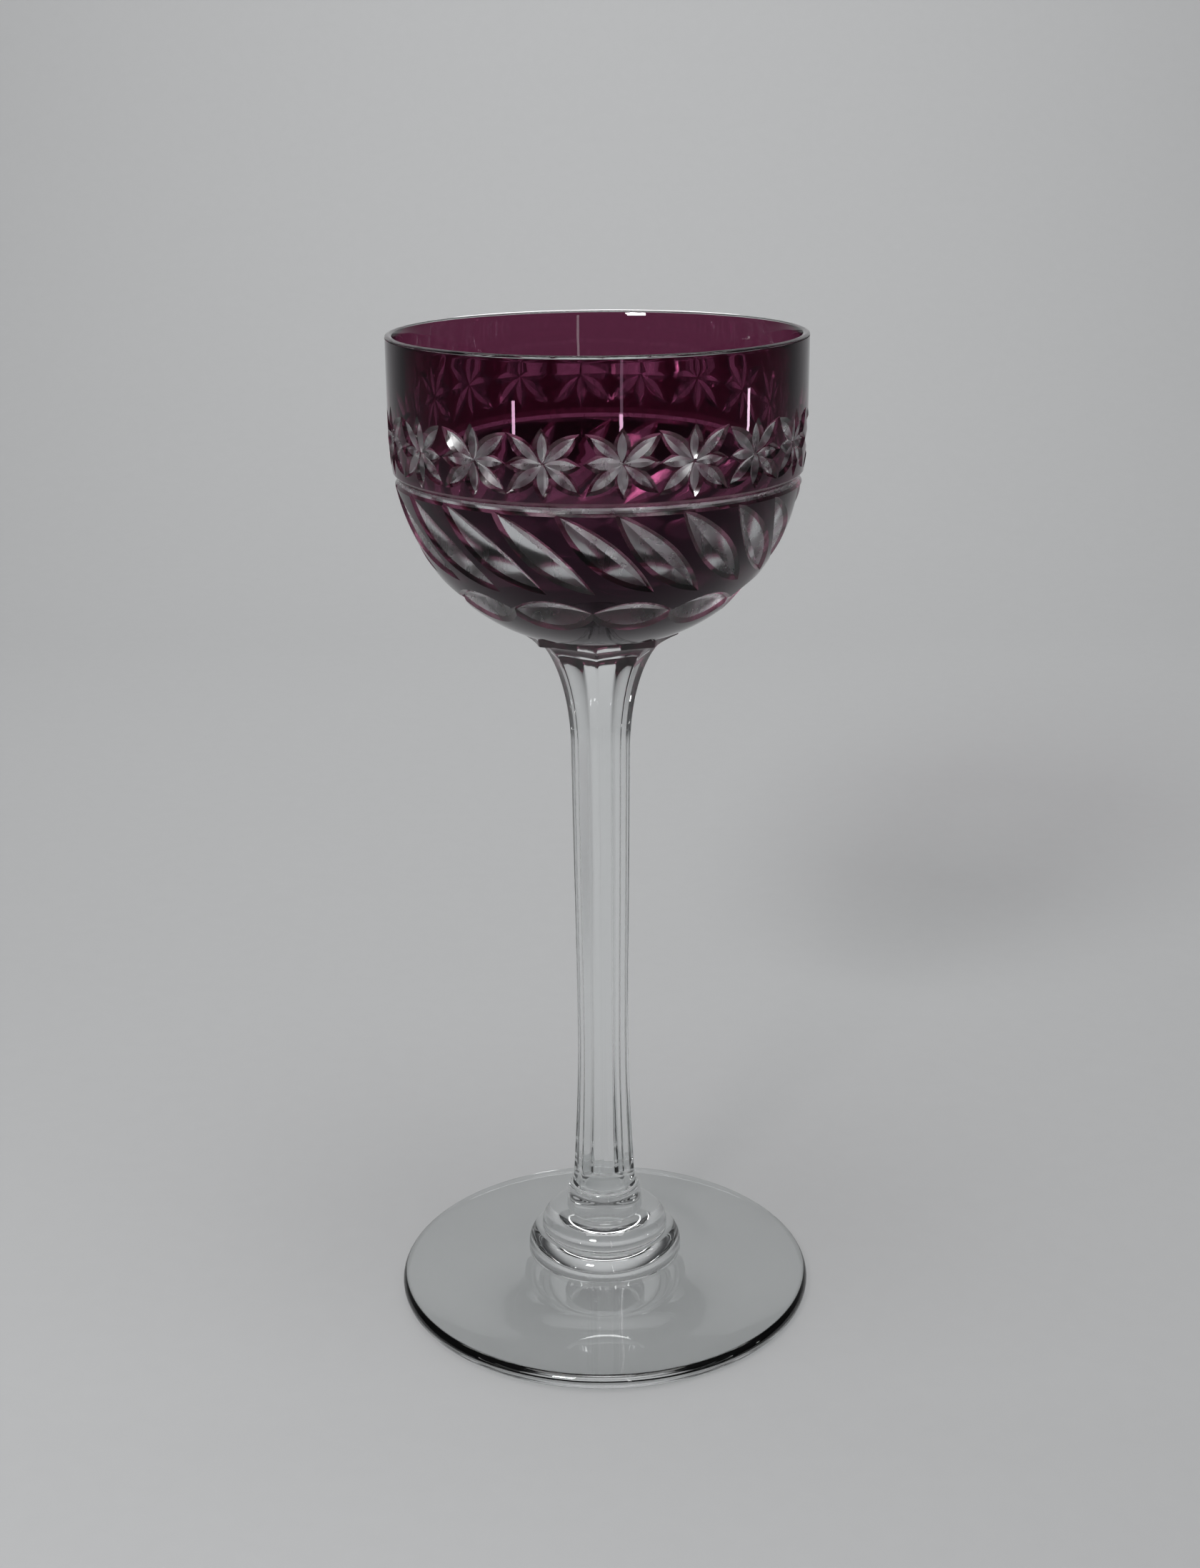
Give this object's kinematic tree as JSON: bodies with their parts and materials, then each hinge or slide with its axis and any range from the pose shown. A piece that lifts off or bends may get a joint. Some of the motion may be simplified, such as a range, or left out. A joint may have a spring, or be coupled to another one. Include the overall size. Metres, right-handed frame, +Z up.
{
  "type": "cordial glass",
  "caption": "Small stemmed glass for liqueur: a cased bowl cut to clear with stars, a ring, slanted cuts and ovals, on a fluted stem with stepped collars and a round foot.",
  "frame": {"origin": "centre of the foot's underside, on the table", "axes": "+Z up along the stem; the pictured side faces -Y"},
  "size_m": [0.0548, 0.0548, 0.127],
  "materials": {
    "clear_crystal": "polished clear crystal",
    "amethyst_glass": "polished amethyst casing over the crystal"
  },
  "bodies": {
    "root": {"crystal_bowl": "clear_crystal", "amethyst_rim_casing": "amethyst_glass", "amethyst_base_casing": "amethyst_glass", "fluted_stem": "clear_crystal", "stem_bead": "clear_crystal", "middle_collar": "clear_crystal", "foot_collar": "clear_crystal", "foot": "clear_crystal"}
  },
  "joints": []
}
